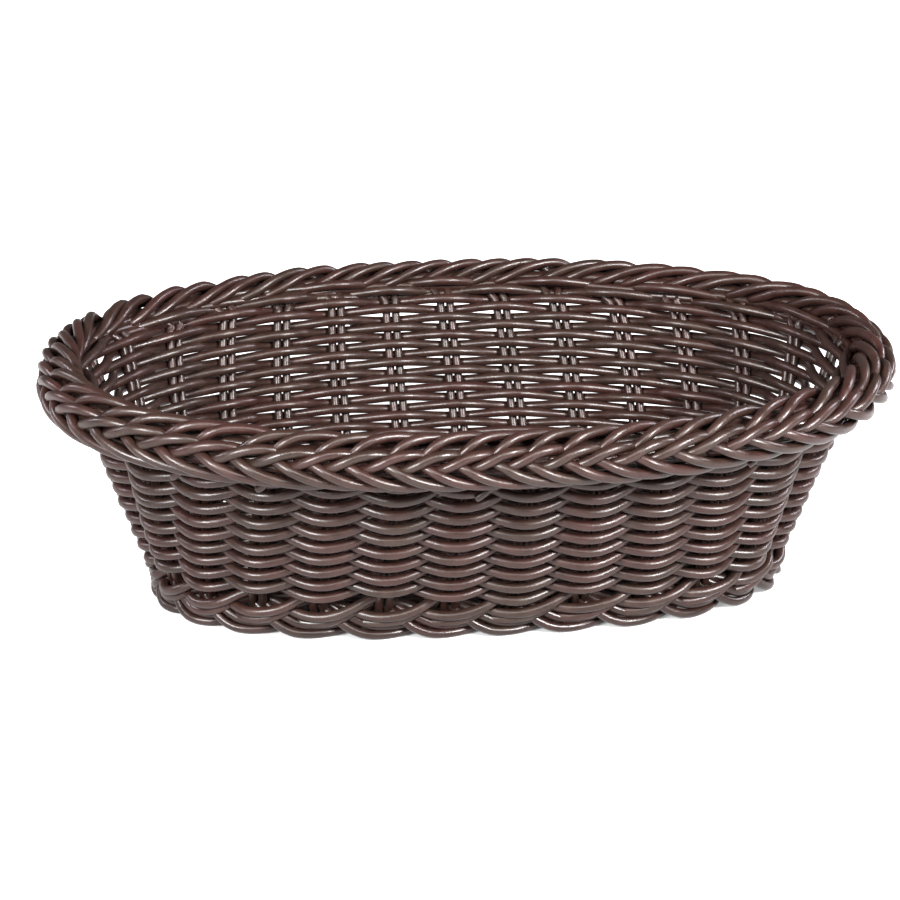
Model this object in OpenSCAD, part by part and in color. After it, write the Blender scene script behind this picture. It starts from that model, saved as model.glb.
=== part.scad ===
// Oval bread basket woven from round dark-brown poly-rattan strand.
// Straight flared side of paired stakes and two weavers that chase each other,
// braided rolled rim, scalloped foot border and a stick-and-weave base.
// Origin: centre of the foot on the table. +X is the long way, +Z is up.

/* [Overall size] */
// Length over the rim, in mm
basket_l = 241; // [220:1:260]
// Width over the rim, in mm
basket_w = 168; // [155:1:185]
// Height from the table to the top of the rim, in mm
basket_h = 74; // [72:1:90]

/* [Foot] */
// Length over the foot border, in mm
foot_l = 177; // [165:1:185]
// Width over the foot border, in mm
foot_w = 84; // [78:1:96]
// Squareness of the oval at the foot (2 is an ellipse)
foot_sq = 2.6; // [2.2:0.1:3]
// How far each scallop of the foot border swells, in mm
scallop = 1.2; // [0.4:0.1:1.6]

/* [Weave] */
// Diameter of the strand, in mm
strand_d = 2.5; // [2.2:0.1:2.6]
// Number of stake pairs (even, so two weavers chase each other round)
pairs = 30; // [26:2:30]
// Height of the first side row above the table, in mm
row_z = 10.4; // [10:0.1:10.8]
// How far a row swings in front of and behind the stakes, in mm
swing = 3.7; // [3.65:0.05:4]
// Gap between the two stakes of a pair, in mm
pair_gap = 0.4; // [0.2:0.1:0.5]
// How far the stakes lean round the side, in stake spacings
lean = 0.16; // [0:0.02:0.5]
// How much the stakes crowd towards the ends of the foot
crowd_foot = 0.026; // [0:0.001:0.028]

/* [Rim] */
// Width and height of the braided rim, in mm
rim_d = 15.5; // [14:0.5:16]
// Squareness of the oval at the rim (2 is an ellipse)
rim_sq = 2.25; // [2:0.05:2.6]
// How far the top of the side sits inside the outer edge of the rim, in mm
rim_over = 11.75; // [11.5:0.25:12.5]

/* [Base] */
// Diameter of the base sticks, in mm
stick_d = 2.8; // [2.4:0.1:2.8]
// Number of long base sticks
long_sticks = 5; // [3:2:5]
// Number of cross base sticks
cross_sticks = 9; // [5:2:11]

/* [Hidden] */

brown = [0.36, 0.29, 0.27];
brown_dark = [0.27, 0.21, 0.20];
brown_light = [0.42, 0.34, 0.32];

rim_r = rim_d / 2;
// Side surface: half axes run in straight lines from z_low to z_high
z_low = 6;
z_high = basket_h - rim_r;
out_low = swing + strand_d / 2;
a_low = foot_l / 2 - out_low + 1;
b_low = foot_w / 2 - out_low + 1;
a_high = basket_l / 2 - rim_over;
b_high = basket_w / 2 - rim_over;
rows = 22;
crowd_top = 0.0144;                       // and spread at the ends of the rim
lop = 0.0063;                             // and bunch a little towards the left-hand end
phase = 0.12;                             // where pair 0 stands, in stake spacings
foot_t = 3;                               // thickness of each foot border course
foot_w2 = 5.2;                            // width of each foot border course
wale_z = row_z - strand_d - 0.35;         // underside of the waling round
row_pitch = (basket_h - rim_r + 0.7 - row_z) / rows;
row_t = min(strand_d, row_pitch - 0.2);   // height of one round
mat_z = row_z - 0.2;                      // underside of the base weave
mat_t = 2;                                // thickness of the base weave
stake_top = basket_h - rim_r + 1.2;       // stakes end under the inner braid
stake_low = 2 * foot_t + 0.35;            // and start above the foot border

function frac(z) = (z - z_low) / (z_high - z_low);
function half_a(z) = a_low + (a_high - a_low) * frac(z);
function half_b(z) = b_low + (b_high - b_low) * frac(z);
function sq(z) = foot_sq + (rim_sq - foot_sq) * min(1, max(0, frac(z)));

// A point on the oval |x/a|^n + |y/b|^n = 1 in the direction of angle t
function oval(a, b, n, t) =
    let (c = cos(t), s = sin(t),
         r = pow(pow(abs(c / a), n) + pow(abs(s / b), n), -1 / n))
    [r * c, r * s];
function sgn(v) = v < 0 ? -1 : 1;
// Outward unit normal of the same oval at point p
function oval_n(a, b, n, p) =
    let (g = [sgn(p[0]) * pow(abs(p[0] / a), n - 1) / a,
              sgn(p[1]) * pow(abs(p[1] / b), n - 1) / b])
    g / norm(g);
// Table from the share of the way round to the angle
STEPS = 180;
function run(a, b, n) =
    let (p = [for (i = [0 : STEPS]) oval(a, b, n, 360 * i / STEPS)])
    [for (i = 0, s = 0; i <= STEPS; s = s + (i < STEPS ? norm(p[i + 1] - p[i]) : 0), i = i + 1) s];
function table(a, b, n) =
    let (s = run(a, b, n))
    [for (i = [0 : STEPS]) [s[i] / s[STEPS], 360 * i / STEPS]];
function wrap(u) = u - floor(u);
// Points spaced by share of the way round, each pushed out by its own offset
function ring_pts(a, b, n, us, offs) =
    let (tb = table(a, b, n))
    [for (i = [0 : len(us) - 1])
        let (p = oval(a, b, n, lookup(wrap(us[i]), tb)))
        p + oval_n(a, b, n, p) * offs[i]];

// Share of the way round of stake pair k at height z: the stakes stand square to
// the long sides, so they crowd together round the ends of the foot
function spread(q, z) = q + (crowd_top * frac(z) - crowd_foot * (1 - frac(z))) * sin(720 * q)
    - 0.002 * (1 - frac(z)) * sin(1440 * q) + lop * sin(360 * q);
function pair_u(k, z) = spread((k + phase + lean * frac(z)) / pairs, z);

// One woven round: it swings outside and inside the pairs by turns
module woven_round(z, t, odd) {
    zm = z + t / 2;
    hw = min(0.17, (strand_d + pair_gap) / 2 / 14);
    us = [for (k = [0 : pairs - 1]) each [pair_u(k - hw, zm), pair_u(k + hw, zm)]];
    side = [for (k = [0 : pairs - 1]) each [for (j = [0, 1]) ((k + odd) % 2 == 0 ? 1 : -1) * swing]];
    translate([0, 0, z]) linear_extrude(height = t) difference() {
        polygon(ring_pts(half_a(zm), half_b(zm), sq(zm), us, [for (s = side) s + strand_d * 0.48]));
        polygon(ring_pts(half_a(zm), half_b(zm), sq(zm), us, [for (s = side) s - strand_d * 0.48]));
    }
}

// Three rounds of the side to a length of weaver, and two in each of the top two
module side_weaver(i) {
    first = min(3 * i, 2 * i + 6);
    for (j = [first : first + (i < 6 ? 2 : 1)])
        woven_round(row_z + j * row_pitch, row_t, j);
}

module side_weaver_1() { color(brown) side_weaver(0); }
module side_weaver_2() { color(brown_light) side_weaver(1); }
module side_weaver_3() { color(brown) side_weaver(2); }
module side_weaver_4() { color(brown_light) side_weaver(3); }
module side_weaver_5() { color(brown) side_weaver(4); }
module side_weaver_6() { color(brown_light) side_weaver(5); }
module side_weaver_7() { color(brown) side_weaver(6); }
module side_weaver_8() { color(brown_light) side_weaver(7); }

// The round between the foot border and the side
module bottom_waling() {
    color(brown_dark) woven_round(wale_z, strand_d, 1);
}

// A straight round rod between two points
module rod(p, q, d) {
    v = q - p;
    l = norm(v);
    translate(p) rotate([0, acos(v[2] / l), atan2(v[1], v[0])])
        cylinder(h = l, d = d, $fn = 24);
}

function side_pt(u, z) =
    let (a = half_a(z), b = half_b(z), n = sq(z),
         p = oval(a, b, n, lookup(wrap(u), table(a, b, n))))
    [p[0], p[1], z];

// Both stakes of pairs first to last
module stake_run(first, last) {
    off = (strand_d + pair_gap) / 2;
    for (k = [first : last]) {
        p = side_pt(pair_u(k, stake_low), stake_low);
        q = side_pt(pair_u(k, stake_top), stake_top);
        e = side_pt(pair_u(k, stake_low) + 0.002, stake_low) - side_pt(pair_u(k, stake_low) - 0.002, stake_low);
        f = side_pt(pair_u(k, stake_top) + 0.002, stake_top) - side_pt(pair_u(k, stake_top) - 0.002, stake_top);
        for (s = [-1, 1])
            rod(p + s * off * e / norm(e), q + s * off * f / norm(f), strand_d);
    }
}

// Pair 0 is at the right-hand end; numbers run the way round towards the back
quarter = floor(pairs / 8);
module stakes_right_end() { color(brown_dark) stake_run(-quarter, quarter - 1); }
module stakes_back() { color(brown_dark) stake_run(quarter, floor(pairs / 2) - quarter - 1); }
module stakes_left_end() { color(brown_dark) stake_run(floor(pairs / 2) - quarter, floor(pairs / 2) + quarter); }
module stakes_front() { color(brown_dark) stake_run(floor(pairs / 2) + quarter + 1, pairs - quarter - 1); }

// A flat course of the foot border with one scallop for each stake pair
module foot_course(z, inset, turn) {
    a = foot_l / 2 - scallop - inset;
    b = foot_w / 2 - scallop - inset;
    per = 6;
    us = [for (i = [0 : pairs * per - 1]) pair_u(i / per + turn, z_low)];
    translate([0, 0, z]) linear_extrude(height = foot_t) difference() {
        polygon(ring_pts(a, b, foot_sq, us,
            [for (i = [0 : pairs * per - 1]) scallop * (1 - pow(abs(((i % per) / per) * 2 - 1), 2) * 1.2)]));
        polygon(ring_pts(a, b, foot_sq, [for (i = [0 : 95]) i / 96], [for (i = [0 : 95]) -foot_w2]));
    }
}
module foot_border_lower() { color(brown) foot_course(0, 0, 0); }
module foot_border_upper() { color(brown_dark) foot_course(foot_t + 0.15, 0.9, 0.35); }

// Base: cross sticks below, woven mat between, long sticks above
stick_r = stick_d / 2;
mat_a = half_a(mat_z) - out_low - 0.5;
mat_b = half_b(mat_z) - out_low - 0.5;
function chord(a, b, n, v) = a * pow(1 - pow(abs(v / b), n), 1 / n);

module base_cross_sticks() {
    a = half_a(stake_low) - out_low - 0.8;
    b = half_b(stake_low) - out_low - 0.8;
    color(brown_dark) for (i = [0 : cross_sticks - 1]) {
        x = (i - (cross_sticks - 1) / 2) * 1.62 * a / cross_sticks;
        y = chord(b, a, foot_sq, x) - 0.6;
        translate([x, y, mat_z - 0.1 - stick_r]) rotate([90, 0, 0]) cylinder(h = 2 * y, r = stick_r, $fn = 24);
    }
}
module base_long_sticks() {
    z = mat_z + mat_t + 0.1 + stick_r;
    a = half_a(z - stick_r) - out_low - 0.8;
    b = half_b(z - stick_r) - out_low - 0.8;
    color(brown_dark) for (i = [0 : long_sticks - 1]) {
        y = (i - (long_sticks - 1) / 2) * 1.5 * b / long_sticks;
        x = chord(a, b, foot_sq, y) - 0.6;
        translate([-x, y, z]) rotate([0, 90, 0]) cylinder(h = 2 * x, r = stick_r, $fn = 24);
    }
}
function plain_oval(a, b, n, m) = [for (i = [0 : m - 1]) oval(a, b, n, 360 * i / m)];
module base_centre_weave() {
    color(brown) translate([0, 0, mat_z]) linear_extrude(height = mat_t)
        polygon(plain_oval(mat_a - 15, mat_b - 15, 2.2, 72));
}
module base_edge_weave() {
    color(brown_light) translate([0, 0, mat_z]) linear_extrude(height = mat_t) difference() {
        polygon(plain_oval(mat_a, mat_b, foot_sq, 96));
        polygon(plain_oval(mat_a - 14.7, mat_b - 14.7, 2.2, 72));
    }
}

// A closed band swept round the rim: section centred dr out and dz up from
// the middle of the rim, half sizes hr and hz, swelling once a strand
module rim_band(dr, dz, hr, hz, turn) {
    a = basket_l / 2 - rim_r;
    b = basket_w / 2 - rim_r;
    n = 2 * pairs;
    m = 8;
    us = [for (i = [0 : n - 1]) pair_u((i + turn) / 2, z_high)];
    c = ring_pts(a, b, rim_sq, us, [for (u = us) dr]);
    c2 = ring_pts(a, b, rim_sq, us, [for (u = us) dr + 1]);
    pts = [for (i = [0 : n - 1]) for (j = [0 : m - 1])
        let (nn = c2[i] - c[i], g = i % 2 == 0 ? 1 : 0.86, t = 360 * (j + 0.5) / m,
             x = hr * g * cos(t) / cos(180 / m), z = hz * g * sin(t) / cos(180 / m))
        [c[i][0] + nn[0] * x, c[i][1] + nn[1] * x, basket_h - rim_r + dz + z]];
    faces = [for (i = [0 : n - 1]) for (j = [0 : m - 1])
        let (i2 = (i + 1) % n, j2 = (j + 1) % m)
        each [[i * m + j, i2 * m + j, i2 * m + j2], [i * m + j, i2 * m + j2, i * m + j2]]];
    polyhedron(points = pts, faces = [for (f = faces) [f[2], f[1], f[0]]], convexity = 6);
}
k_rim = rim_r / 7.75;
module rim_braid_outer() { color(brown) rim_band(4.8 * k_rim, -2.8 * k_rim, 2.9 * k_rim, 4.9 * k_rim, 0); }
module rim_braid_middle() { color(brown_light) rim_band(3.7 * k_rim, 4.95 * k_rim, 3.5 * k_rim, 2.7 * k_rim, 0.5); }
module rim_braid_inner() { color(brown) rim_band(-3.6 * k_rim, 4.85 * k_rim, 3.6 * k_rim, 2.85 * k_rim, 0); }

// Trimmed ends of stakes that peep out under the rim
CUTS = [0.56, 0.615, 0.66, 0.735, 0.9, 0.12, 0.3, 0.42];
module cut_ends() {
    z = basket_h - rim_d - 1.2;
    color(brown_light) for (u = CUTS) {
        p = ring_pts(half_a(z), half_b(z), sq(z), [u, u + 0.002], [out_low + 1.8, out_low + 1.8]);
        t = (p[1] - p[0]) / norm(p[1] - p[0]);
        q = [p[0][0], p[0][1], z - 2.2];
        rod(q, q + [t[0] * -3, t[1] * -3, 4.2], strand_d * 0.95);
    }
}

base_cross_sticks();
base_long_sticks();
base_centre_weave();
base_edge_weave();
foot_border_lower();
foot_border_upper();
bottom_waling();
side_weaver_1();
side_weaver_2();
side_weaver_3();
side_weaver_4();
side_weaver_5();
side_weaver_6();
side_weaver_7();
side_weaver_8();
stakes_front();
stakes_back();
stakes_left_end();
stakes_right_end();
rim_braid_outer();
rim_braid_middle();
rim_braid_inner();
cut_ends();
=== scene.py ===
import math

import bpy
import numpy as np
from mathutils import Matrix


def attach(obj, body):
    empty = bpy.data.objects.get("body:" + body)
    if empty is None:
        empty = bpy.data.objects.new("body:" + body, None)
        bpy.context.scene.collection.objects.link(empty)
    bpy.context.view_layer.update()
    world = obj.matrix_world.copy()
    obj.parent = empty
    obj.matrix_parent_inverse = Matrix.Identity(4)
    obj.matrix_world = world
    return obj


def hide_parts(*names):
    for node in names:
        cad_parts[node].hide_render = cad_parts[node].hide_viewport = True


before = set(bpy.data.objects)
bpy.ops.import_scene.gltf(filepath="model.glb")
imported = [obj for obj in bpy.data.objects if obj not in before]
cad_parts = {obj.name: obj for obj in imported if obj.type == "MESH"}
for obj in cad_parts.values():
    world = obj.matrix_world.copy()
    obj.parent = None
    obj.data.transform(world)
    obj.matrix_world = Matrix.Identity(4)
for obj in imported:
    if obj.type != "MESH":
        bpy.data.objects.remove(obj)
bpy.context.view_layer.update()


# ---------------------------------------------------------------- camera
AZ, EL, DIST, FOCAL_PX = -0.1001, 0.381, 733.66, 2557.05
back = np.array([math.sin(AZ) * math.cos(EL), -math.cos(AZ) * math.cos(EL), math.sin(EL)])
right = np.array([math.cos(AZ), math.sin(AZ), 0.0])
up = np.cross(back, right)
cam_at = (np.array([0, 0, 40.0]) + back * DIST - right * 5.067 - up * 1.005) * 0.001
cam_data = bpy.data.cameras.new("camera")
cam_data.sensor_width = 36.0
cam_data.lens = 36.0 * FOCAL_PX / 900.0
cam_data.clip_start = 0.01
cam_data.clip_end = 50.0
cam = bpy.data.objects.new("camera", cam_data)
bpy.context.scene.collection.objects.link(cam)
rot = Matrix((right, up, back)).transposed().to_4x4()
cam.matrix_world = Matrix.Translation(cam_at) @ rot
bpy.context.scene.camera = cam

# ---------------------------------------------------------------- shape of the side (mm)
RND = np.random.RandomState(31)
PAIRS = 30
PHASE, LEAN = 0.12, 0.16
Z_LOW, Z_HIGH = 6.0, 66.25
A_LOW, B_LOW, A_HIGH, B_HIGH = 87.2, 38.9, 108.6, 72.3
FOOT_SQ, RIM_SQ = 2.6, 2.25
CROWD_TOP, CROWD_FOOT, LOP = 0.0144, 0.031, 0.0063
RIM_CROWD = 0.009
D = 2.55                      # stake strand
DW = 2.82                     # weaver strand
PITCH = 2.50                  # height of one round
Z_ROW0 = 12.1


def frac(z):
    return (np.asarray(z, float) - Z_LOW) / (Z_HIGH - Z_LOW)


def spread(q, z):
    f = frac(z)
    return q + (CROWD_TOP * f - CROWD_FOOT * (1 - f)) * np.sin(4 * np.pi * q) \
        - (0.005 * (1 - f) - 0.0016 * f) * np.sin(8 * np.pi * q) + LOP * np.sin(2 * np.pi * q)


def pair_u(k, z):
    return spread((np.asarray(k, float) + PHASE + LEAN * frac(z)) / PAIRS, z)


NU = 2048


def oval_table(a, b, n):
    """x, y at NU equal shares of the way round, ccw from +X."""
    th = np.linspace(0, 2 * np.pi, 1441)
    c, s = np.cos(th), np.sin(th)
    r = (np.abs(c / a) ** n + np.abs(s / b) ** n) ** (-1 / n)
    x, y = r * c, r * s
    L = np.concatenate([[0], np.cumsum(np.hypot(np.diff(x), np.diff(y)))])
    u = np.arange(NU + 1) / NU * L[-1]
    return np.stack([np.interp(u, L, x), np.interp(u, L, y)], 1), L[-1]


ZG = np.linspace(-2, 78, 41)
WALL = []
for z in ZG:
    f = float(frac(z))
    WALL.append(oval_table(A_LOW + (A_HIGH - A_LOW) * f, B_LOW + (B_HIGH - B_LOW) * f,
                           FOOT_SQ + (RIM_SQ - FOOT_SQ) * min(1, max(0, f)))[0])
WALL = np.array(WALL)


def wall(u, z):
    u = np.asarray(u, float) % 1.0 * NU
    z = np.asarray(z, float)
    u, z = np.broadcast_arrays(u, z)
    i = np.clip(u.astype(int), 0, NU - 1)
    fu = (u - i)[..., None]
    g = np.clip((z - ZG[0]) / (ZG[1] - ZG[0]), 0, len(ZG) - 1.001)
    j = g.astype(int)
    fz = (g - j)[..., None]
    p = (WALL[j, i] * (1 - fu) + WALL[j, i + 1] * fu) * (1 - fz) + \
        (WALL[j + 1, i] * (1 - fu) + WALL[j + 1, i + 1] * fu) * fz
    return np.concatenate([p, z[..., None]], -1)


def unit(v):
    return v / np.linalg.norm(v, axis=-1, keepdims=True)


def wall_frame(u, z):
    """point, way round (ccw), outward normal, up the side"""
    p = wall(u, z)
    t = unit(wall(np.asarray(u) + 0.002, z) - wall(np.asarray(u) - 0.002, z))
    s = unit(wall(u, np.asarray(z) + 1.0) - wall(u, np.asarray(z) - 1.0))
    n = unit(np.cross(t, s))
    return p, t, n, s


def flat_frame(tab, u):
    u = np.asarray(u, float) % 1.0 * NU
    i = np.clip(u.astype(int), 0, NU - 1)
    f = (u - i)[..., None]
    p = tab[i] * (1 - f) + tab[i + 1] * f
    w = 12
    t = unit(tab[(i + w) % NU] * (1 - f) + tab[(i + w + 1) % NU] * f
             - tab[(i - w) % NU] * (1 - f) - tab[(i - w + 1) % NU] * f)
    n = np.stack([t[..., 1], -t[..., 0]], -1)
    return p, t, n


RIM_TAB, RIM_LEN = oval_table(112.75, 76.25, RIM_SQ)
FOOT_TAB, FOOT_LEN = oval_table(A_LOW, B_LOW, FOOT_SQ)
RIM_Z = 66.25


def settle(P):
    """The long back side has sagged a little under the rim."""
    w = np.clip((P[:, 1] - 8) / 58, 0, 1)
    w = w * w * (3 - 2 * w)
    Q = P.copy()
    Q[:, 2] = P[:, 2] * (1 - 0.030 * w)
    Q[:, 1] = P[:, 1] - 1.5 * w * P[:, 2] / 66
    return Q


# ---------------------------------------------------------------- strands to meshes
class Piece:
    def __init__(self):
        self.v, self.f, self.along, self.tint, self.cut = [], [], [], [], []
        self.n = 0

    def strand(self, pts, r, sides=10, tint=None, cut0=True, cut1=True, flat=1.0, flat_dir=None):
        """A round strand swept along pts (mm). flat < 1 squashes it along flat_dir."""
        pts = settle(np.asarray(pts, float))
        m = len(pts)
        r = np.broadcast_to(np.asarray(r, float), (m,))
        if tint is None:
            tint = RND.rand()
        tan = np.gradient(pts, axis=0)
        tan = unit(tan)
        e1 = np.zeros((m, 3))
        if flat_dir is not None:
            fd = np.broadcast_to(flat_dir, (m, 3))
            e1 = unit(fd - tan * (fd * tan).sum(1, keepdims=True))
        else:
            a = np.array([0, 0, 1.0]) if abs(tan[0][2]) < 0.8 else np.array([1.0, 0, 0])
            e = a - tan[0] * a.dot(tan[0])
            e1[0] = e / np.linalg.norm(e)
            for i in range(1, m):
                e = e1[i - 1] - tan[i] * e1[i - 1].dot(tan[i])
                e1[i] = e / np.linalg.norm(e)
        e2 = np.cross(tan, e1)
        L = np.concatenate([[0], np.cumsum(np.linalg.norm(np.diff(pts, axis=0), axis=1))])
        # end rings: a small bevel, then a flat cut face
        rings, rad, al, ct = [], [], [], []
        bev = 0.22

        def add(p, i, k, a, c):
            rings.append((p, i)); rad.append(r[i] * k); al.append(a); ct.append(c)
        add(pts[0] - tan[0] * bev, 0, 0.80, L[0] - bev, 1.0 if cut0 else 0.0)
        add(pts[0] - tan[0] * bev * 0.5, 0, 0.95, L[0] - bev * .5, 0.35 if cut0 else 0.0)
        for i in range(m):
            add(pts[i], i, 1.0, L[i], 0.0)
        add(pts[-1] + tan[-1] * bev * 0.5, m - 1, 0.95, L[-1] + bev * .5, 0.35 if cut1 else 0.0)
        add(pts[-1] + tan[-1] * bev, m - 1, 0.80, L[-1] + bev, 1.0 if cut1 else 0.0)
        P = np.array([q[0] for q in rings]); I = np.array([q[1] for q in rings])
        rad = np.array(rad)[:, None, None]
        a = np.arange(sides) / sides * 2 * np.pi
        ring = (np.cos(a)[None, :, None] * e1[I][:, None, :] * flat + np.sin(a)[None, :, None] * e2[I][:, None, :]) * rad
        V = (P[:, None, :] + ring).reshape(-1, 3)
        M = len(P)
        n0 = self.n
        off = RND.rand() * 500
        self.v.append(V)
        self.along.append(np.repeat(np.array(al) + off, sides))
        self.cut.append(np.repeat(np.array(ct), sides))
        self.tint.append(np.full(M * sides, tint))
        i = np.arange(M - 1)[:, None]
        j = np.arange(sides)[None, :]
        j2 = (j + 1) % sides
        q = np.stack([n0 + i * sides + j, n0 + i * sides + j2, n0 + (i + 1) * sides + j2, n0 + (i + 1) * sides + j], -1)
        self.f += q.reshape(-1, 4).tolist()
        self.f.append((n0 + np.arange(sides))[::-1].tolist())
        self.f.append((n0 + (M - 1) * sides + np.arange(sides)).tolist())
        self.n += M * sides

    def build(self, name, mat, nodes, slot):
        me = bpy.data.meshes.new(name)
        V = np.concatenate(self.v) * 0.001
        me.from_pydata(V.tolist(), [], self.f)
        for key, arr in (("along", self.along), ("tint", self.tint), ("cut", self.cut)):
            at = me.attributes.new(key, "FLOAT", "POINT")
            at.data.foreach_set("value", np.concatenate(arr).astype(np.float32))
        me.update()
        me.shade_smooth()
        # keep the cut faces crisp
        sm = np.ones(len(me.polygons), bool)
        for i, f in enumerate(self.f):
            if len(f) > 4:
                sm[i] = False
        me.polygons.foreach_set("use_smooth", sm)
        ob = bpy.data.objects.new(name, me)
        bpy.context.scene.collection.objects.link(ob)
        me.materials.append(mat)
        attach(ob, "root")
        if nodes:
            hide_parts(*nodes)
        return ob


def smooth_path(keys, n):
    """keys: rows of (s, values...); a smooth monotone-free curve through them at n points."""
    K = np.array(keys, float)
    s = K[:, 0]
    out = []
    x = np.linspace(s[0], s[-1], n)
    for c in range(1, K.shape[1]):
        y = K[:, c]
        m = np.gradient(y, s)
        i = np.clip(np.searchsorted(s, x, side="right") - 1, 0, len(s) - 2)
        h = s[i + 1] - s[i]
        t = (x - s[i]) / h
        out.append((2 * t**3 - 3 * t**2 + 1) * y[i] + (t**3 - 2 * t**2 + t) * h * m[i]
                   + (-2 * t**3 + 3 * t**2) * y[i + 1] + (t**3 - t**2) * h * m[i + 1])
    return x, np.array(out)


# ---------------------------------------------------------------- materials
def strand_material(name, red, olive, rough, gloss=0.45, light=1.0):
    m = bpy.data.materials.new(name)
    m.use_nodes = True
    nt = m.node_tree
    N, Lk = nt.nodes, nt.links
    N.clear()
    out = N.new("ShaderNodeOutputMaterial")
    bs = N.new("ShaderNodeBsdfPrincipled")
    Lk.new(bs.outputs[0], out.inputs[0])
    al = N.new("ShaderNodeAttribute"); al.attribute_name = "along"
    ti = N.new("ShaderNodeAttribute"); ti.attribute_name = "tint"
    cu = N.new("ShaderNodeAttribute"); cu.attribute_name = "cut"
    tc = N.new("ShaderNodeTexCoord")
    # slow drift of colour along the strand
    cx = N.new("ShaderNodeCombineXYZ")
    Lk.new(al.outputs["Fac"], cx.inputs[0])
    sc = N.new("ShaderNodeMath"); sc.operation = "MULTIPLY"; sc.inputs[1].default_value = 913.0
    Lk.new(ti.outputs["Fac"], sc.inputs[0])
    Lk.new(sc.outputs[0], cx.inputs[1])
    drift = N.new("ShaderNodeTexNoise"); drift.inputs["Scale"].default_value = 0.075
    drift.inputs["Detail"].default_value = 2.5
    Lk.new(cx.outputs[0], drift.inputs["Vector"])
    # long thin streaks: object noise squeezed across the strand, offset by its length
    fine = N.new("ShaderNodeTexNoise"); fine.inputs["Scale"].default_value = 1500.0
    fine.inputs["Detail"].default_value = 3.0
    Lk.new(tc.outputs["Object"], fine.inputs["Vector"])
    blot = N.new("ShaderNodeTexNoise"); blot.inputs["Scale"].default_value = 260.0
    blot.inputs["Detail"].default_value = 4.0
    Lk.new(tc.outputs["Object"], blot.inputs["Vector"])
    # red or olive by strand and drift
    a1 = N.new("ShaderNodeMath"); a1.operation = "MULTIPLY_ADD"
    a1.inputs[1].default_value = 0.5; a1.inputs[2].default_value = -0.03
    Lk.new(ti.outputs["Fac"], a1.inputs[0])
    a2 = N.new("ShaderNodeMath"); a2.operation = "MULTIPLY_ADD"; a2.inputs[1].default_value = 0.9
    Lk.new(drift.outputs["Fac"], a2.inputs[0]); Lk.new(a1.outputs[0], a2.inputs[2])
    mr = N.new("ShaderNodeMapRange"); mr.inputs["From Min"].default_value = 0.38
    mr.inputs["From Max"].default_value = 0.95
    Lk.new(a2.outputs[0], mr.inputs["Value"])
    mix = N.new("ShaderNodeMix"); mix.data_type = "RGBA"
    mix.inputs["A"].default_value = (*[c * light for c in red], 1)
    mix.inputs["B"].default_value = (*[c * light for c in olive], 1)
    Lk.new(mr.outputs["Result"], mix.inputs["Factor"])
    # darker and lighter patches
    vr = N.new("ShaderNodeMapRange"); vr.inputs["From Min"].default_value = 0.3
    vr.inputs["From Max"].default_value = 0.7; vr.inputs["To Min"].default_value = 0.78
    vr.inputs["To Max"].default_value = 1.24
    Lk.new(blot.outputs["Fac"], vr.inputs["Value"])
    mul = N.new("ShaderNodeVectorMath"); mul.operation = "SCALE"
    Lk.new(mix.outputs["Result"], mul.inputs[0]); Lk.new(vr.outputs["Result"], mul.inputs["Scale"])
    # cut faces are paler
    cm = N.new("ShaderNodeMix"); cm.data_type = "RGBA"
    cm.inputs["B"].default_value = (0.20, 0.14, 0.12, 1)
    Lk.new(mul.outputs[0], cm.inputs["A"])
    cs = N.new("ShaderNodeMath"); cs.operation = "MULTIPLY"; cs.inputs[1].default_value = 0.6
    Lk.new(cu.outputs["Fac"], cs.inputs[0]); Lk.new(cs.outputs[0], cm.inputs["Factor"])
    Lk.new(cm.outputs["Result"], bs.inputs["Base Color"])
    # satin finish that varies a little
    rr = N.new("ShaderNodeMapRange"); rr.inputs["To Min"].default_value = rough - 0.07
    rr.inputs["To Max"].default_value = rough + 0.12
    Lk.new(blot.outputs["Fac"], rr.inputs["Value"])
    Lk.new(rr.outputs["Result"], bs.inputs["Roughness"])
    bs.inputs["Specular IOR Level"].default_value = gloss
    # lengthwise drawn lines and a fine grain
    lines = N.new("ShaderNodeTexNoise"); lines.inputs["Scale"].default_value = 3.2
    lines.inputs["Detail"].default_value = 2.0
    cy = N.new("ShaderNodeVectorMath"); cy.operation = "SCALE"; cy.inputs["Scale"].default_value = 420.0
    Lk.new(tc.outputs["Object"], cy.inputs[0])
    Lk.new(cy.outputs[0], lines.inputs["Vector"])
    hb = N.new("ShaderNodeMath"); hb.operation = "MULTIPLY_ADD"; hb.inputs[1].default_value = 0.35
    Lk.new(fine.outputs["Fac"], hb.inputs[0]); Lk.new(lines.outputs["Fac"], hb.inputs[2])
    bp = N.new("ShaderNodeBump"); bp.inputs["Strength"].default_value = 0.35
    bp.inputs["Distance"].default_value = 0.00012
    Lk.new(hb.outputs[0], bp.inputs["Height"]); Lk.new(bp.outputs[0], bs.inputs["Normal"])
    return m


RED = (0.030, 0.0118, 0.0095)
OLIVE = (0.0245, 0.0136, 0.0100)
MAT_SIDE = strand_material("side_strand", RED, OLIVE, 0.34)
MAT_STAKE = strand_material("stake_strand", RED, OLIVE, 0.36)
MAT_RIM = strand_material("rim_strand", RED, OLIVE, 0.33)
# painted shade: the foot strands are the stake strands bent down, given 0.72 of their colour to stand for the shade at
# the foot
MAT_FOOT_SHADED = strand_material("foot_strand", RED, OLIVE, 0.31, light=0.72)
MAT_BASE = strand_material("base_strand", RED, OLIVE, 0.38, light=0.95)

# ---------------------------------------------------------------- side weaver
AMP = 2.8
_ph = RND.rand(8) * 6.28


def wander(t):
    """slow and quick unevenness of a hand-woven row, about -1 to 1"""
    return (np.sin(t * 0.61 + _ph[0]) + np.sin(t * 1.37 + _ph[1]) + 0.8 * np.sin(t * 2.83 + _ph[2])
            + 0.6 * np.sin(t * 4.9 + _ph[3])) / 2.6


AMPS = 1 + 0.07 * (RND.rand(900) * 2 - 1)
LIFT = 0.22 * (RND.rand(900) * 2 - 1)


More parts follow.
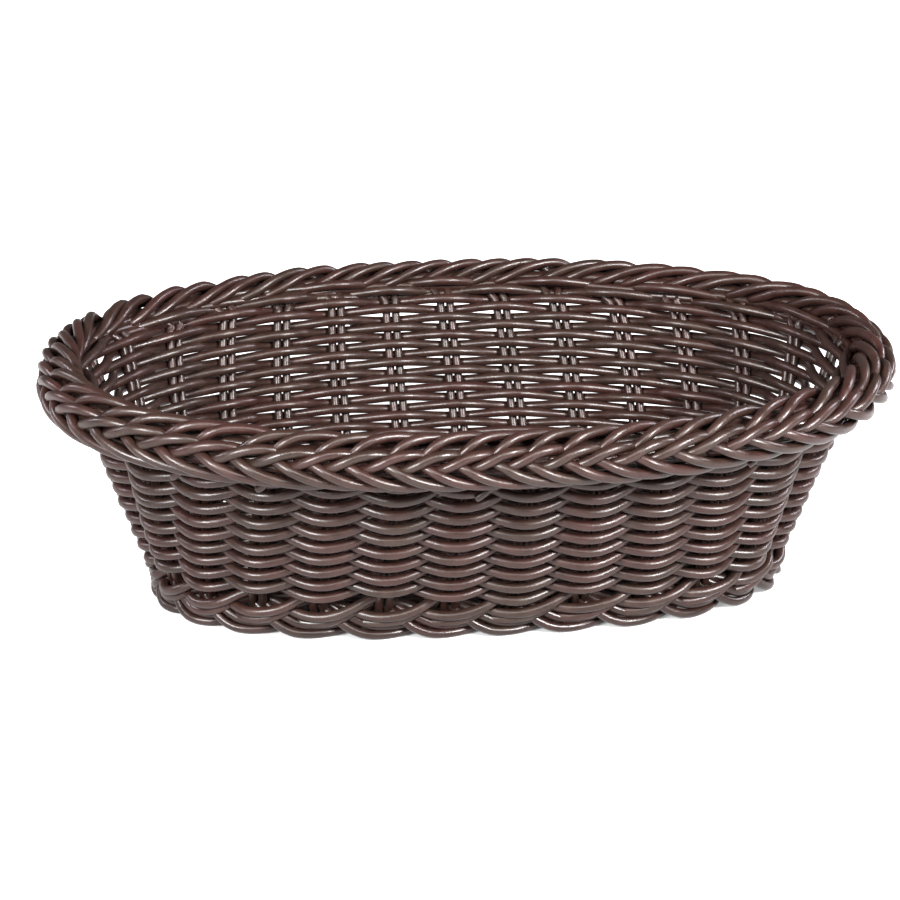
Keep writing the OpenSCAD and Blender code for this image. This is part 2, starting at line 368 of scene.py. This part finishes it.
def weft_path(hand, t0, t1, proud0=0.0, proud1=0.0, step=0.1):
    """hand 0 starts in front of even pairs, hand 1 chases it a round higher"""
    n = max(3, int(round((t1 - t0) / step)) + 1)
    t = np.linspace(t0, t1, n)
    z = Z_ROW0 + PITCH * (2 * t / PAIRS + hand)
    near = np.cos(np.pi * t) * (1 if hand == 0 else -1)
    amp = np.interp(t + 20 + 430 * hand, np.arange(900), AMPS)
    w = np.sign(near) * np.abs(near) ** 1.0
    off = AMP * amp * w + 0.12 * wander(t + 70 * hand)
    off = off + proud0 * np.exp(-((t - t0) / 0.22) ** 2) + proud1 * np.exp(-((t - t1) / 0.22) ** 2)
    dz = 0.16 * wander(t * 0.9 + 11 + 50 * hand) + np.interp(t + 20 + 430 * hand, np.arange(900), LIFT)
    u = pair_u(t, z)
    p, tt, nn, ss = wall_frame(u, z)
    return p + nn * off[:, None] + ss * dz[:, None]


# where each strand of each weaver stops and the next begins, in pairs passed
END = 11.35 * PAIRS
ENDS = [[-0.45, 46.0, 91.0, 135.8, 181.2, 226.0, 270.9, 300.8, END - 0.5],
        [-8.4, 44.2, 89.6, 136.9, 179.8, 225.1, 268.7, 301.4, END - 15.5]]
for i in range(8):
    pc = Piece()
    for hand in (0, 1):
        a, b = ENDS[hand][i], ENDS[hand][i + 1]
        a2 = a - (1.1 if i else 0.0)
        pc.strand(weft_path(hand, a2, b, 0.4 if i else 0.0, -0.5), DW / 2 * (1 + 0.015 * RND.randn()), sides=10)
    pc.build("side_weaver_%d_strand" % (i + 1), MAT_SIDE, ["side_weaver_%d" % (i + 1)], "side_strand")

# ---------------------------------------------------------------- waling: a slanting arc over each pair
pc = Piece()
for k in range(PAIRS):
    for level in (0, 1):
        jz, ja = 0.22 * RND.randn(), 0.15 * RND.randn()
        keys = [(-0.98, -2.2, 6.6), (-0.74, -0.8, 6.3), (-0.5, 1.6, 6.1 + jz * .5), (-0.22, 3.2 + ja, 6.3 + jz),
                (0.08, 3.5 + ja, 7.0 + jz), (0.38, 2.6, 8.1), (0.64, 0.3, 9.1), (0.94, -2.2, 9.7)]
        s, (off, z) = smooth_path(keys, 34)
        z = z + level * 2.75
        s = s + level * 0.12
        p, tt, nn, ss = wall_frame(pair_u(k + s, 8.0), z)
        pc.strand(p + nn * off[:, None], DW / 2 * 1.02, sides=10)
t = np.linspace(0, PAIRS * 1.01, 700)
for z0, o0 in ((6.9, -2.4), (9.4, -2.7)):
    p, tt, nn, ss = wall_frame(pair_u(t, 8.0), np.full(len(t), z0) + 0.25 * np.sin(t * 1.7))
    pc.strand(p + nn * (o0 + 0.25 * np.sin(np.pi * t))[:, None], DW / 2, sides=8)
pc.build("bottom_waling_strands", MAT_SIDE, ["bottom_waling"], "side_strand")

# ---------------------------------------------------------------- stakes
HALF = (D + 0.35) / 2


def stake_path(k, side):
    z = np.linspace(7.0, 63.0, 46)
    u = pair_u(k, z)
    p, tt, nn, ss = wall_frame(u, z)
    q = p + tt * (side * HALF) + nn * 0.10 * np.sin(z * 1.3 + k)[:, None]
    # top: outwards and on into the rim core; the ccw rod of the pair leans ccw
    s = np.linspace(0.15, 1, 8)
    lean = (3.6 if side > 0 else 0.4)
    zt = 63.0 + 5.6 * s
    ut = pair_u(k, 66.25)
    pt, t2, n2, s2 = wall_frame(np.full(len(s), float(ut)), zt)
    top = pt + t2 * (side * HALF + lean * s ** 1.3)[:, None] + n2 * (2.6 * s ** 1.7)[:, None]
    return np.concatenate([q, top])


q4 = PAIRS // 8
groups = {"stakes_right_end": range(-q4, q4), "stakes_back": range(q4, PAIRS // 2 - q4),
          "stakes_left_end": range(PAIRS // 2 - q4, PAIRS // 2 + q4 + 1),
          "stakes_front": range(PAIRS // 2 + q4 + 1, PAIRS - q4)}
for name, ks in groups.items():
    pc = Piece()
    for k in ks:
        for side in (-1, 1):
            pc.strand(stake_path(k, side), D / 2 * 0.98, sides=8)
    pc.build(name + "_rods", MAT_STAKE, [name], "stake_strand")

# ---------------------------------------------------------------- rim braid
RR = 6.45                     # middle of a strand from the middle of the rim
X0 = 0.0                      # turns the braid round the rim, in half stake spacings


def rim_path(X, psi, r):
    """X: half stake spacings ccw; psi: degrees, 0 outwards, 90 up, 180 inwards"""
    q = (X / 2 + PHASE + LEAN) / PAIRS
    u = q + RIM_CROWD * np.sin(4 * np.pi * q) - 0.0012 * np.sin(8 * np.pi * q) + 0.004 * np.sin(2 * np.pi * q)
    p, t, n = flat_frame(RIM_TAB, u)
    a = np.radians(psi)
    q = p + n * (r * np.cos(a))[:, None]
    return np.concatenate([q, (RIM_Z + r * np.sin(a))[:, None]], 1)


INNER = [(0.4, 38, -3.0), (0.58, 47, -1.8), (0.78, 58, -0.5), (1.05, 71, 0.35), (1.4, 84, 0.5), (1.75, 96, 0.3),
         (2.1, 108, -0.1), (2.4, 119, -0.8), (2.7, 130, -1.8), (3.0, 140, -3.0), (3.2, 146, -4.0)]
MIDDLE = [(-0.45, -14, -3.2), (-0.22, -6, -2.2), (0.0, 4, -0.75), (0.32, 17, 0.2), (0.72, 31, 0.5), (1.05, 38, 0.1),
          (1.35, 43, -1.1), (1.6, 47, -2.6), (1.8, 50, -3.8)]
OUTER = [(0.05, 27, -3.2), (0.3, 18, -2.2), (0.55, 8, -0.9), (0.85, -4, 0.2), (1.2, -17, 0.5), (1.6, -31, 0.4),
         (2.0, -44, 0.1), (2.45, -58, -0.3), (2.9, -72, -1.1), (3.4, -86, -2.3), (3.8, -96, -3.4)]
for node, keys, name in (("rim_braid_inner", INNER, "rim_braid_inner_strands"),
                         ("rim_braid_middle", MIDDLE, "rim_braid_middle_strands"),
                         ("rim_braid_outer", OUTER, "rim_braid_outer_strands")):
    pc = Piece()
    for j in range(2 * PAIRS):
        K = np.array(keys, float)
        shift = 0.06 * RND.randn() + (0.07 if j % 2 else -0.07) * (node == "rim_braid_inner")
        K[:, 1] += 1.6 * RND.randn()
        K[:, 2] += 0.12 * RND.randn() + 0.0
        end = 0.5 + 0.5 * math.cos(4 * math.pi * (j + 1.5) / (2 * PAIRS))
        mid = 1.2 if node != "rim_braid_outer" else 0.9
        K[:, 0] = mid + (K[:, 0] - mid) * (1 - 0.06 * end)
        x, (psi, dr) = smooth_path(K, 30)
        pc.strand(rim_path(x + j + X0 + shift, psi, RR + dr), D / 2 * (1.05 + 0.11 * end + 0.02 * RND.randn()), sides=10)
    pc.build(name, MAT_RIM, [node], "rim_strand")

# the buried ends of the stakes run on round the middle of the roll
core = Piece()
for j in range(10):
    for q, (psi0, r0) in enumerate(((165, 2.6), (115, 2.9), (65, 2.9), (15, 3.0), (-35, 3.0), (-80, 2.9), (205, 3.6), (240, 3.4))):
        a = np.linspace(0, 7.4, 90) + j * 6.0 + q
        core.strand(rim_path(a, psi0 + 12 * np.sin(a * 0.8 + 2 * j + q), r0 + 0.2 * np.sin(a * 0.9 + q)), 1.4, sides=8)
core.build("rim_core_strands", MAT_RIM, [], "rim_strand")

# ---------------------------------------------------------------- foot: each pair turns along the table in a scallop
def foot_path(k, keys, rise, inset):
    x, (z, off) = smooth_path(keys, 34)
    u = pair_u(k + x, Z_LOW)
    p, t, n = flat_frame(FOOT_TAB, u)
    q = p + n * (off - inset)[:, None]
    return np.concatenate([q, (z + rise)[:, None]], 1)


FOOT = [(-0.1, 10.4, 0.4), (0.04, 8.6, 1.2), (0.22, 6.2, 2.6), (0.42, 3.7, 3.3), (0.64, 2.0, 3.5), (0.88, 1.42, 3.1),
        (1.12, 1.4, 2.0), (1.35, 1.5, 0.1), (1.6, 1.9, -2.2), (1.9, 3.0, -4.4)]
lower, upper = Piece(), Piece()
for k in range(PAIRS):
    kk = k + 0.03 * RND.randn()
    tint = RND.rand()
    lower.strand(foot_path(kk, FOOT, 0.0, 0.0), D / 2 * 1.04, sides=10, tint=tint)
    K = np.array(FOOT)
    K[:, 1] += 2.25 * np.clip((K[:, 0] + 0.1) / 0.5, 0, 1) * np.clip((2.1 - K[:, 0]) / 0.6, 0, 1) + 0.1
    K[:, 0] = K[:, 0] * 0.97 + 0.12
    upper.strand(foot_path(kk, K, 0.0, 0.6), D / 2 * 1.04, sides=10, tint=min(1, tint + 0.2 * RND.rand()))
lower.build("foot_border_lower_strands", MAT_FOOT_SHADED, ["foot_border_lower"], "foot_strand")
upper.build("foot_border_upper_strands", MAT_FOOT_SHADED, ["foot_border_upper"], "foot_strand")

# ---------------------------------------------------------------- base
BZ = 11.2                     # middle of the woven layer
cross_x, long_y = [], []
a0, b0 = 83.0, 36.2
cross_x = [(i - 4) * 1.62 * a0 / 9 for i in range(9)]
a1, b1 = 85.2, 38.4
long_y = [(i - 2) * 1.5 * b1 / 5 for i in range(5)]


def chord(a, b, v):
    return a * (1 - abs(v / b) ** FOOT_SQ) ** (1 / FOOT_SQ)


pc = Piece()
for x in cross_x:
    y = chord(b0, a0, x) - 0.3
    n = 26
    s = np.linspace(-1, 1, n)
    pc.strand(np.stack([np.full(n, x) + 0.25 * np.sin(s * 3 + x), s * y, 8.7 + 0.12 * np.sin(s * 9 + x)], 1), 1.4, sides=10)
pc.build("base_cross_stick_rods", MAT_BASE, ["base_cross_sticks"], "base_strand")
pc = Piece()
for y in long_y:
    x = chord(a1, b1, y) - 0.3
    n = 60
    s = np.linspace(-1, 1, n)
    pc.strand(np.stack([s * x, np.full(n, y) + 0.25 * np.sin(s * 3 + y), 13.7 + 0.12 * np.sin(s * 19 + y)], 1), 1.4, sides=10)
pc.build("base_long_stick_rods", MAT_BASE, ["base_long_sticks"], "base_strand")


def weave_height(x, y, flip):
    """the middle height of the woven layer, the same everywhere"""
    return BZ


def base_rings(rings, sides=8):
    pc = Piece()
    for r, (a, b, n) in enumerate(rings):
        tab, L = oval_table(a, b, n)
        m = max(60, int(L / 2.2))
        u = np.linspace(0, 1, m)
        i = np.clip((u * NU).astype(int), 0, NU - 1)
        p = tab[i]
        # the ring rises and dips once between neighbouring sticks
        w = np.cos(np.pi * (p[:, 0] / (1.62 * a0 / 9) + r)) * 0.75
        e = np.cos(np.pi * (p[:, 1] / (1.5 * b1 / 5) + r)) * 0.75
        fx = np.clip((np.abs(p[:, 0]) - (a - 12)) / 10, 0, 1)
        pc.strand(np.concatenate([p, (BZ + w * (1 - fx) + e * fx)[:, None]], 1), 1.12, sides=sides)
    return pc


mat_a, mat_b = 84.6, 37.4
edge = [(mat_a - 1.3 - 2.35 * i, mat_b - 1.3 - 2.35 * i, FOOT_SQ) for i in range(6)]
base_rings(edge).build("base_edge_weave_strand", MAT_BASE, ["base_edge_weave"], "base_strand")
ca, cb = mat_a - 15.2, mat_b - 15.2
centre = [(ca - 0.6 - 2.35 * i, cb - 0.6 - 2.35 * i, 2.2) for i in range(9)]
cen = base_rings(centre)
n = 60
s = np.linspace(-1, 1, n)
cen.strand(np.stack([s * (ca - cb), 0.15 * np.sin(s * 9), BZ + 0.75 * np.cos(np.pi * s * (ca - cb) / (1.62 * a0 / 9))], 1), 1.1, sides=8)
cen.build("base_centre_weave_strand", MAT_BASE, ["base_centre_weave"], "base_strand")

# ---------------------------------------------------------------- trimmed ends under the rim
pc = Piece()
for u, z, ln in ((0.604, 59.0, 2.4), (0.6455, 59.5, 2.3), (0.7435, 58.4, 2.0), (0.872, 60.2, 2.3), (0.5255, 60.0, 2.6),
                 (0.12, 58.6, 2.6), (0.3, 58.8, 2.6), (0.42, 59.0, 2.6)):
    s = np.linspace(0, 1, 8)
    p, tt, nn, ss = wall_frame(np.full(8, u) - 0.003 + s * 0.006, np.full(8, z) - 1.2 + s * ln)
    pc.strand(p + nn * (5.6 - 1.6 * s ** 2)[:, None], D / 2 * 0.85, sides=10)
pc.build("cut_end_stubs", MAT_RIM, ["cut_ends"], "rim_strand")

# ---------------------------------------------------------------- floor, light
fm = bpy.data.materials.new("floor_painted_light")
fm.use_nodes = True
fb = fm.node_tree.nodes["Principled BSDF"]
fn = fm.node_tree.nodes.new("ShaderNodeTexNoise")
fn.inputs["Scale"].default_value = 3.0
fr = fm.node_tree.nodes.new("ShaderNodeMapRange")
fr.inputs["To Min"].default_value = 0.52
fr.inputs["To Max"].default_value = 0.54
fm.node_tree.links.new(fn.outputs["Fac"], fr.inputs["Value"])
fm.node_tree.links.new(fr.outputs["Result"], fb.inputs["Base Color"])
fb.inputs["Roughness"].default_value = 0.9
fb.inputs["Specular IOR Level"].default_value = 0.0
fb.inputs["Emission Color"].default_value = (1, 1, 1, 1)
# painted light: the floor glows, more behind the basket than in front, to fill in the shadows the basket casts behind
# it
fc = fm.node_tree.nodes.new("ShaderNodeTexCoord")
fx = fm.node_tree.nodes.new("ShaderNodeSeparateXYZ")
painted_glow_behind = fm.node_tree.nodes.new("ShaderNodeMapRange")
painted_glow_behind.interpolation_type = "SMOOTHSTEP"
painted_glow_behind.inputs["From Min"].default_value = -0.12
painted_glow_behind.inputs["From Max"].default_value = 0.12
painted_glow_behind.inputs["To Min"].default_value = 0.22
painted_glow_behind.inputs["To Max"].default_value = 0.95
fm.node_tree.links.new(fc.outputs["Object"], fx.inputs[0])
fm.node_tree.links.new(fx.outputs["Y"], painted_glow_behind.inputs["Value"])
# painted shadow: the glow falls to nothing in an oval under the basket
fs = fm.node_tree.nodes.new("ShaderNodeVectorMath")
fs.operation = "MULTIPLY"
fs.inputs[1].default_value = (1 / 0.0875, 1 / 0.041, 0)
fl = fm.node_tree.nodes.new("ShaderNodeVectorMath")
fl.operation = "LENGTH"
fu = fm.node_tree.nodes.new("ShaderNodeMapRange")
fu.inputs["From Min"].default_value = 0.85
fu.inputs["From Max"].default_value = 1.10
glow_with_painted_shade = fm.node_tree.nodes.new("ShaderNodeMath")
glow_with_painted_shade.operation = "MULTIPLY"
fd = fm.node_tree.nodes.new("ShaderNodeVectorMath")
fd.operation = "LENGTH"
ff = fm.node_tree.nodes.new("ShaderNodeMapRange")
ff.interpolation_type = "SMOOTHSTEP"
ff.inputs["From Min"].default_value = 0.30
ff.inputs["From Max"].default_value = 0.80
ff.inputs["To Min"].default_value = 0.0
ff.inputs["To Max"].default_value = 0.95
fh = fm.node_tree.nodes.new("ShaderNodeMath")
fh.operation = "MAXIMUM"
fm.node_tree.links.new(fc.outputs["Object"], fd.inputs[0])
fm.node_tree.links.new(fd.outputs["Value"], ff.inputs["Value"])
fm.node_tree.links.new(painted_glow_behind.outputs["Result"], fh.inputs[0])
fm.node_tree.links.new(ff.outputs["Result"], fh.inputs[1])
fm.node_tree.links.new(fc.outputs["Object"], fs.inputs[0])
fm.node_tree.links.new(fs.outputs[0], fl.inputs[0])
fm.node_tree.links.new(fl.outputs["Value"], fu.inputs["Value"])
fm.node_tree.links.new(fh.outputs[0], glow_with_painted_shade.inputs[0])
fm.node_tree.links.new(fu.outputs["Result"], glow_with_painted_shade.inputs[1])
fm.node_tree.links.new(glow_with_painted_shade.outputs[0], fb.inputs["Emission Strength"])
fme = bpy.data.meshes.new("floor")
S = 6.0
fme.from_pydata([(-S, -S, 0), (S, -S, 0), (S, S, 0), (-S, S, 0)], [], [(0, 1, 2, 3)])
fme.materials.append(fm)
floor = bpy.data.objects.new("floor", fme)
floor.location.z = -0.0001
bpy.context.scene.collection.objects.link(floor)

world = bpy.data.worlds.new("studio")
bpy.context.scene.world = world
world.use_nodes = True
wn, wl = world.node_tree.nodes, world.node_tree.links
wt = wn.new("ShaderNodeTexCoord")
ws = wn.new("ShaderNodeSeparateXYZ")
wr = wn.new("ShaderNodeMapRange")
wr.inputs["From Min"].default_value = 0.25
wr.inputs["From Max"].default_value = 0.95
wr.inputs["To Min"].default_value = 0.30
wr.inputs["To Max"].default_value = 0.20
wl.new(wt.outputs["Generated"], ws.inputs[0])
wl.new(ws.outputs["Z"], wr.inputs["Value"])
wc = wn.new("ShaderNodeCombineColor")
for i in range(3):
    wl.new(wr.outputs["Result"], wc.inputs[i])
wl.new(wc.outputs[0], wn["Background"].inputs[0])
wn["Background"].inputs[1].default_value = 0.80


def area(name, at, to, size, watts, col=(1, 1, 1)):
    ld = bpy.data.lights.new(name, "AREA")
    ld.shape = "RECTANGLE"
    ld.size, ld.size_y = size
    ld.energy = watts
    ld.color = col
    ob = bpy.data.objects.new(name, ld)
    bpy.context.scene.collection.objects.link(ob)
    z = np.array(at, float) - np.array(to, float)
    z = z / np.linalg.norm(z)
    x = np.cross([0, 0, 1.0], z)
    x = x / np.linalg.norm(x)
    y = np.cross(z, x)
    ob.matrix_world = Matrix.Translation(at) @ Matrix((x, y, z)).transposed().to_4x4()
    return ob


area("key_right", (0.50, -0.58, 0.46), (0, -0.02, 0.04), (0.24, 0.20), 19.0)
area("key_left", (-0.50, -0.58, 0.42), (0, -0.02, 0.04), (0.23, 0.20), 14.0)
area("front_top", (-0.03, -0.60, 0.66), (0, 0, 0.04), (0.32, 0.20), 4.5)
area("side_right", (1.1, 0.30, 0.62), (0.08, 0, 0.06), (0.3, 0.3), 11.0, (0.93, 0.92, 1.0))
area("side_left", (-1.1, 0.30, 0.62), (-0.08, 0, 0.06), (0.3, 0.3), 8.0, (0.93, 0.92, 1.0))

bpy.context.scene.view_settings.view_transform = "Standard"
bpy.context.scene.view_settings.gamma = 0.88
